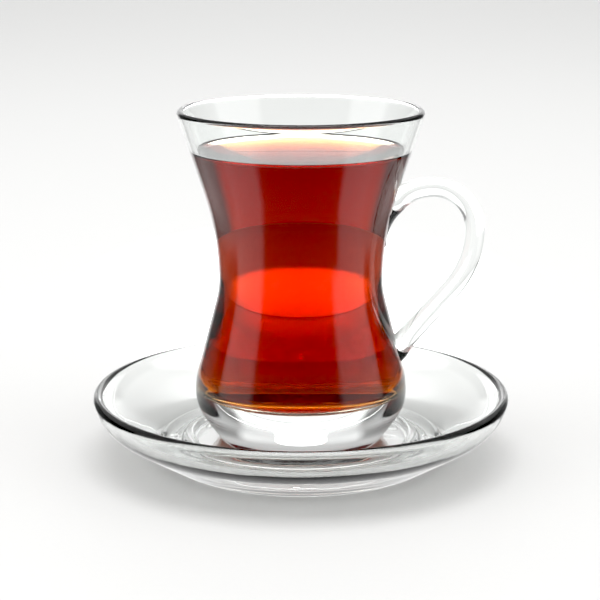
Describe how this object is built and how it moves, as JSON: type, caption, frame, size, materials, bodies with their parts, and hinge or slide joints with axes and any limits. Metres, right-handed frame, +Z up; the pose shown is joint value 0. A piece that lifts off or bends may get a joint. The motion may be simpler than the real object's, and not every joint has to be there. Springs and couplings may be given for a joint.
{
  "type": "turkish tea glass",
  "caption": "Waisted clear tea glass with a handle, filled with black tea and standing on its glass saucer.",
  "frame": {"origin": "middle of the saucer's foot, on the surface that it stands on", "axes": "+Z up along the axis of the glass; +X towards the handle; the X-Z plane cuts the handle in half"},
  "size_m": [0.1144, 0.1144, 0.096],
  "materials": {
    "glass": "clear, fire-polished",
    "saucer_glass": "clear, pressed",
    "tea": "clear deep red brew"
  },
  "bodies": {
    "root": {"tea_glass": "glass", "saucer": "saucer_glass", "tea": "tea"}
  },
  "joints": []
}
